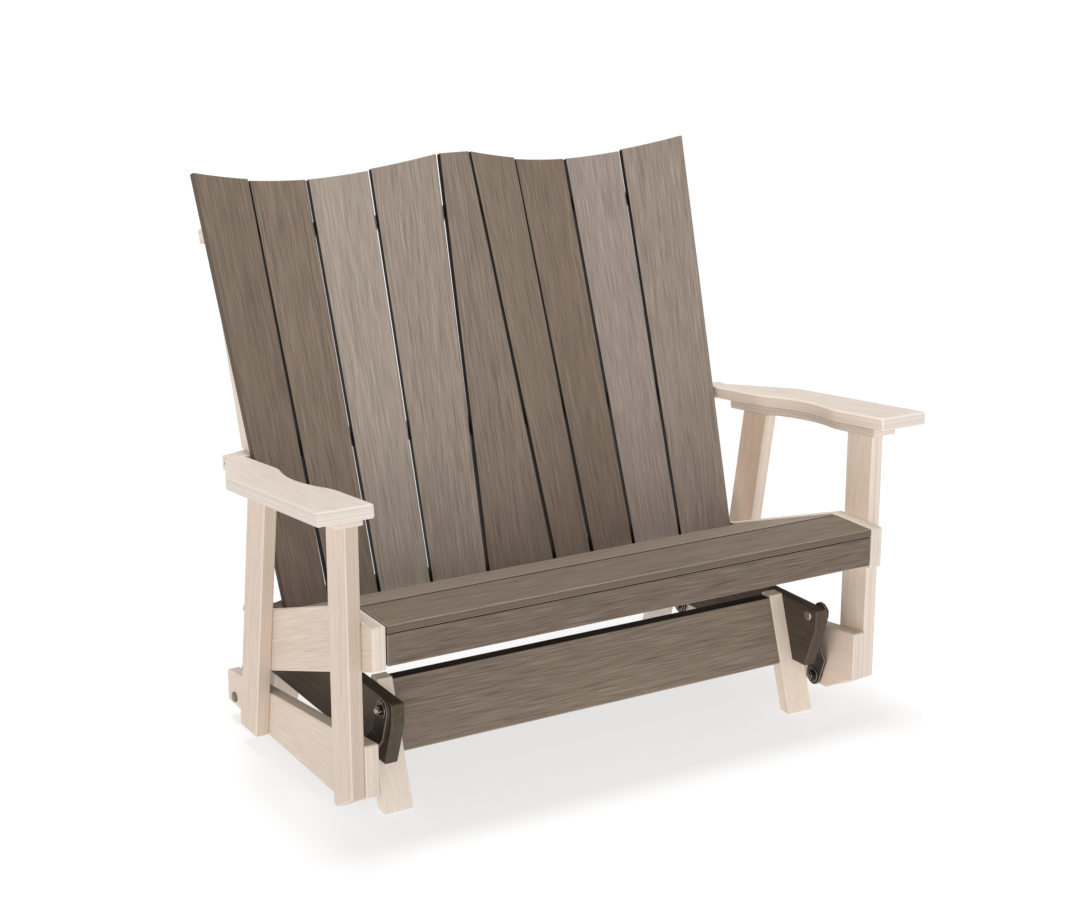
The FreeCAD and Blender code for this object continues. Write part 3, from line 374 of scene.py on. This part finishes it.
# Painted light on boards that stand in shade, painted shade on some boards on the left
PAINTED_LIGHT_AND_SHADE = {
    "front_leg_right": {"dark": "#eedccb", "light": "#fef0df", "narrow": PLAIN_EDGE},
    "rear_leg_right": {"dark": "#e3ceb8", "light": "#f4e0cb", "narrow": "#e7dacd"},
    "lower_rail_right": {"dark": "#e8d6c5", "light": "#f8e6d6", "narrow": PLAIN_EDGE},
    "armrest_right": {"minus_side": "#fdf0e3", "narrow": "#e8ded5"},
    "base_leg_front_left": {"dark": "#f0e2d3", "light": "#fdf1e3"},
    "base_leg_front_right": {"dark": "#eddbca", "light": "#fbecdb"},
    "seat_rail_left": {"dark": "#d0bfb0", "light": "#e2d4c6", "narrow": "#e8dbcf"},
    "lower_rail_left": {"dark": "#d3c4b6", "light": "#e5d8cb"},
    "front_leg_left": {"dark": "#d1c1b2", "light": "#e3d5c8", "narrow": "#cbb9a9"},
    "rear_leg_left": {"dark": "#d0bfaf", "light": "#e2d3c5", "narrow": "#d6c4b4"},
    "armrest_left": {"narrow": "#e4dbd2", "minus_side": "#dbd2c8"},
}
PLUGS = {**BIRCH, "dark": "#dfcfbf", "light": "#efe0d2"}
# How far the grain of one board starts from that of the board before it
PALE_STEP = (0.37, 0.11, 0.05)


def dress(node, material):
    """Gives a piece of the model its material."""
    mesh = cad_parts[node].data
    mesh.materials.clear()
    mesh.materials.append(material)


pale_boards = ["back_brace_upper", "back_brace_middle"]
for side in ("left", "right"):
    for name in ("front_leg", "rear_leg", "lower_rail", "seat_rail", "arm_support", "armrest", "back_post",
                 "base_leg_front", "base_leg_rear"):
        pale_boards.append(name + "_" + side)
for number, node in enumerate(pale_boards):
    place = [step * number for step in PALE_STEP]
    dress(node, poly_lumber(node, place=place, **{**BIRCH, **PAINTED_LIGHT_AND_SHADE.get(node, {})}))
dress("screw_plugs", poly_lumber("screw_plugs", place=(0.0, 0.0, 0.0), **PLUGS))
print("pale boards", len(pale_boards))

# %% [markdown]
# The back is a weathered grey brown. Its slats look as if cut from different boards, so each has its own
# shade, from the lightest in the third and eighth places to the darkest in the first and seventh. The sides
# in the gaps get a painted shade, nearly black. The real shadow in the gap would do, but the white floor
# lights it too much. The outer sides of the two end slats are factory edges and only a little darker.

# %% Grey brown back slats
SLAT_SHADES = {
    1: ("#6d6055", "#917f70"),
    2: ("#716459", "#968576"),
    3: ("#90857b", "#b5a89c"),
    4: ("#83796f", "#a99c8f"),
    5: ("#72675d", "#99897b"),
    6: ("#736659", "#988778"),
    7: ("#6d6055", "#907f70"),
    8: ("#857a72", "#ac9f95"),
    9: ("#80756b", "#a7998d"),
}
# Painted highlight on the rounded edges of the brown boards
EDGE_HIGHLIGHT_BROWN = "#b3a89c"
# Painted shade for the sides of boards in gaps and joints
GAP_SHADE = "#1d1712"
FACTORY_EDGE = "#5f5247"
SLAT_STEP = (0.53, 0.17, 0.29)
# Back slats get a painted shade up to this height
SHADED_BELOW_TO = 0.6
for number, (dark, light) in SLAT_SHADES.items():
    left_edge = FACTORY_EDGE if number == 1 else GAP_SHADE
    right_edge = FACTORY_EDGE if number == len(SLAT_SHADES) else GAP_SHADE
    place = [step * number for step in SLAT_STEP]
    node = "back_slat_%d" % number
    slat = poly_lumber(node, dark, light, EDGE_HIGHLIGHT_BROWN, place, minus_side=left_edge, plus_side=right_edge,
                       shaded_below=SHADED_BELOW_TO)
    dress(node, slat)
print("back slats", len(SLAT_SHADES))

# %% [markdown]
# The seat, its apron and the stretchers of the base are the same grey brown in slightly different shades.
# Painted shade darkens the gaps between the seat slats, the top of the apron under the front slat and the
# tops of the stretchers under the seat. The two base rails are a much darker board.

# %% Grey brown seat and base
HIDDEN_BROWN = ("#62554a", "#857769")
SEAT_BROWN = ("#796c60", "#9d8f81")
STRETCHER_BROWN = ("#75685b", "#9b8c7c")
RAIL_BROWN = ("#433a30", "#5f5346")
BROWN_SHADES = {
    "seat_apron": ("#5f5246", "#87776a"),
    "seat_slat_1": ("#665a4e", "#8a7c6e"),
    "seat_slat_2": SEAT_BROWN,
    "seat_slat_3": SEAT_BROWN,
    "seat_slat_4": SEAT_BROWN,
    "back_brace_lower": HIDDEN_BROWN,
    "base_stretcher_front": STRETCHER_BROWN,
    "base_stretcher_rear": STRETCHER_BROWN,
    "seat_cleat_left": HIDDEN_BROWN,
    "seat_cleat_right": HIDDEN_BROWN,
    "seat_centre_rail": HIDDEN_BROWN,
    "base_rail_left": RAIL_BROWN,
    "base_rail_right": RAIL_BROWN,
}
# Painted highlight on the rounded edges of the base rails
EDGE_HIGHLIGHT_RAIL = "#7d7064"
# Painted shade on the tops of the stretchers, under the seat
STRETCHER_TOP_SHADE = "#2b231c"
JOINTS = {
    "seat_apron": {"plus_side": GAP_SHADE},
    "base_stretcher_front": {"plus_side": STRETCHER_TOP_SHADE},
    "base_stretcher_rear": {"plus_side": STRETCHER_TOP_SHADE},
    "seat_slat_1": {"narrow": "#6b5d50"},
    "seat_slat_2": {"minus_side": GAP_SHADE},
    "seat_slat_3": {"minus_side": GAP_SHADE},
    "seat_slat_4": {"minus_side": GAP_SHADE},
}
BROWN_START = (7.0, 0.0, 0.0)
BROWN_STEP = (0.41, 0.13, 0.07)
for number, (node, (dark, light)) in enumerate(BROWN_SHADES.items()):
    place = [start + step * number for start, step in zip(BROWN_START, BROWN_STEP)]
    edge_highlight = EDGE_HIGHLIGHT_RAIL if node.startswith("base_rail") else EDGE_HIGHLIGHT_BROWN
    dress(node, poly_lumber(node, dark, light, edge_highlight, place, **JOINTS.get(node, {})))
print("brown boards", len(BROWN_SHADES))

# %% [markdown]
# The swing arms are flat steel bars with a bronze black powder coat: a thin baked plastic skin with a faint
# orange peel and a satin shine. It is a plastic to the eye, so it isn't metallic. The ripple is too low to
# model, and a bump in the material shows it.

# %% Powder-coated steel
PEEL_SIZE = 1.8 * MM
PEEL_BUMP = {"Strength": 0.2, "Distance": 0.1 * MM}
COAT_PATCH_SIZE = 22.0 * MM
COAT_IOR = 1.5
COAT_SHINE = 0.3
# How much rougher and smoother than the middle the coat gets
COAT_VARIES = 0.06


def powder_coat(name, dark, light, roughness):
    """Baked powder coat with the fine ripple of orange peel."""
    material, tree, shader = new_material("powder_coat_" + name)
    spot = add(tree, "ShaderNodeTexCoord")
    peel = add(tree, "ShaderNodeTexNoise", {"Scale": 1.0 / PEEL_SIZE, "Detail": 1.0},
               Vector=spot.outputs["Object"])
    patches = add(tree, "ShaderNodeTexNoise", {"Scale": 1.0 / COAT_PATCH_SIZE, "Detail": 3.0},
                  Vector=spot.outputs["Object"])
    coat = add(tree, "ShaderNodeMix", {"data_type": "RGBA", "i6": linear(dark), "i7": linear(light)},
               i0=patches.outputs["Fac"])
    tree.links.new(coat.outputs[2], shader.inputs["Base Color"])
    rough = add(tree, "ShaderNodeMapRange",
                {"To Min": roughness - COAT_VARIES, "To Max": roughness + COAT_VARIES},
                Value=patches.outputs["Fac"])
    tree.links.new(rough.outputs["Result"], shader.inputs["Roughness"])
    bump = add(tree, "ShaderNodeBump", PEEL_BUMP, Height=peel.outputs["Fac"])
    tree.links.new(bump.outputs["Normal"], shader.inputs["Normal"])
    shader.inputs["IOR"].default_value = COAT_IOR
    shader.inputs["Specular IOR Level"].default_value = COAT_SHINE
    return material


bronze_black = powder_coat("bronze_black", dark="#281f18", light="#3d3128", roughness=0.5)
# A lighter coat painted on the bevelled edges as a highlight
painted_highlight_bronze = powder_coat("painted_highlight_bronze", dark="#85766a", light="#a89a8c", roughness=0.4)
print("coats", bronze_black.name, painted_highlight_bronze.name)

# %% [markdown]
# The edges of a steel bar are broken before it is coated. The drawing leaves them sharp, and a bevel
# modifier breaks them here without changing the mesh. The faces of the bevel get a second, lighter
# material, a painted highlight along the edges.

# %% Swing arms
WELD_REACH = 0.01 * MM
EDGE_SEGMENTS = 2
SHARP_FROM = math.radians(40.0)
ARM_EDGE = 1.2 * MM
CORNERS = ("front_left", "front_right", "rear_left", "rear_right")


def break_edges(node, width, edge_highlight=None):
    """Rounds the sharp edges of a piece a little. edge_highlight is a lighter material painted on these
    rounded edges as a highlight.
    """
    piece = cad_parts[node]
    weld = piece.modifiers.new("joined_faces", "WELD")
    weld.merge_threshold = WELD_REACH
    bevel = piece.modifiers.new("broken_edges", "BEVEL")
    bevel.width = width
    bevel.segments = EDGE_SEGMENTS
    bevel.limit_method = "ANGLE"
    bevel.angle_limit = SHARP_FROM
    if edge_highlight:
        piece.data.materials.append(edge_highlight)
        bevel.material = 1


for corner in CORNERS:
    dress("swing_arm_" + corner, bronze_black)
    break_edges("swing_arm_" + corner, ARM_EDGE, painted_highlight_bronze)
print("coated arms", len(CORNERS))

# %% [markdown]
# The upper bolts are stainless steel, tumbled to a soft shine, and the lower ones are plain steel that has
# gone dull. The washers, nuts and screws have a black zinc finish, and the edges of the washers and nuts get
# a lighter zinc as a painted highlight. The bushes in the arms are moulded black nylon. Real tool marks are a
# few tenths of a millimetre apart and would vanish in the render, so they are drawn coarser.

# %% Finishes of the small parts
MARK_SIZE = 2.5 * MM
MARKS_VARY = 0.05


def small_part(name, dark, light, metal, roughness):
    """A plain machined or moulded finish with faint marks."""
    material, tree, shader = new_material(name)
    spot = add(tree, "ShaderNodeTexCoord")
    marks = add(tree, "ShaderNodeTexNoise", {"Scale": 1.0 / MARK_SIZE, "Detail": 2.0},
                Vector=spot.outputs["Object"])
    tone = add(tree, "ShaderNodeMix", {"data_type": "RGBA", "i6": linear(dark), "i7": linear(light)},
               i0=marks.outputs["Fac"])
    tree.links.new(tone.outputs[2], shader.inputs["Base Color"])
    rough = add(tree, "ShaderNodeMapRange",
                {"To Min": roughness - MARKS_VARY, "To Max": roughness + MARKS_VARY},
                Value=marks.outputs["Fac"])
    tree.links.new(rough.outputs["Result"], shader.inputs["Roughness"])
    shader.inputs["Metallic"].default_value = metal
    return material


stainless = small_part("tumbled_stainless_steel", dark="#a39b91", light="#cfc7bc", metal=1.0, roughness=0.42)
dull_steel = small_part("dull_plain_steel", dark="#6f655b", light="#8f857a", metal=1.0, roughness=0.4)
black_zinc = small_part("black_zinc", dark="#3a332d", light="#514841", metal=0.8, roughness=0.35)
# A lighter zinc painted on the bevelled edges of washers and nuts as a highlight
painted_highlight_zinc = small_part("painted_highlight_zinc", dark="#b3a89c", light="#d6cbbf", metal=1.0, roughness=0.35)
nylon = small_part("black_nylon", dark="#1b1a19", light="#2a2827", metal=0.0, roughness=0.5)
print("finishes", [finish.name for finish in (stainless, dull_steel, black_zinc, painted_highlight_zinc, nylon)])

# %% [markdown]
# Each small part of the model now gets its finish, and the bolts, washers and nuts get broken edges like
# the arms, with a painted highlight on those of the washers and nuts.

# %% Hardware and bushes
BOLT_EDGE = 0.5 * MM
WASHER_EDGE = 0.6 * MM
SCREWS = ("base_screws", "frame_screws", "back_screws")
for height, steel in (("upper", stainless), ("lower", dull_steel)):
    dress(height + "_pivot_bolts", steel)
    break_edges(height + "_pivot_bolts", BOLT_EDGE)
    for kind in ("washers", "nuts"):
        node = height + "_pivot_" + kind
        dress(node, black_zinc)
        # The broken edges of washers and nuts get a painted highlight
        break_edges(node, WASHER_EDGE, painted_highlight_zinc)
for group in SCREWS:
    dress(group, black_zinc)
for corner in CORNERS:
    dress("arm_bushes_" + corner, nylon)
print("groups of screws", len(SCREWS), "and of bushes", len(CORNERS))

# %% [markdown]
# The braces, the posts, the cleats and the rail under the middle of the seat have sharp edges in the model.
# Those of real boards are rounded, so they are broken here as well, with the same modifier.

# %% Broken edges of the hidden boards
BOARD_EDGE = 2.0 * MM
SHARP_BOARDS = ("back_brace_upper", "back_brace_middle", "back_brace_lower", "back_post_left",
                "back_post_right", "seat_cleat_left", "seat_cleat_right", "seat_centre_rail")
for node in SHARP_BOARDS:
    break_edges(node, BOARD_EDGE)
print("broken edges", len(SHARP_BOARDS))
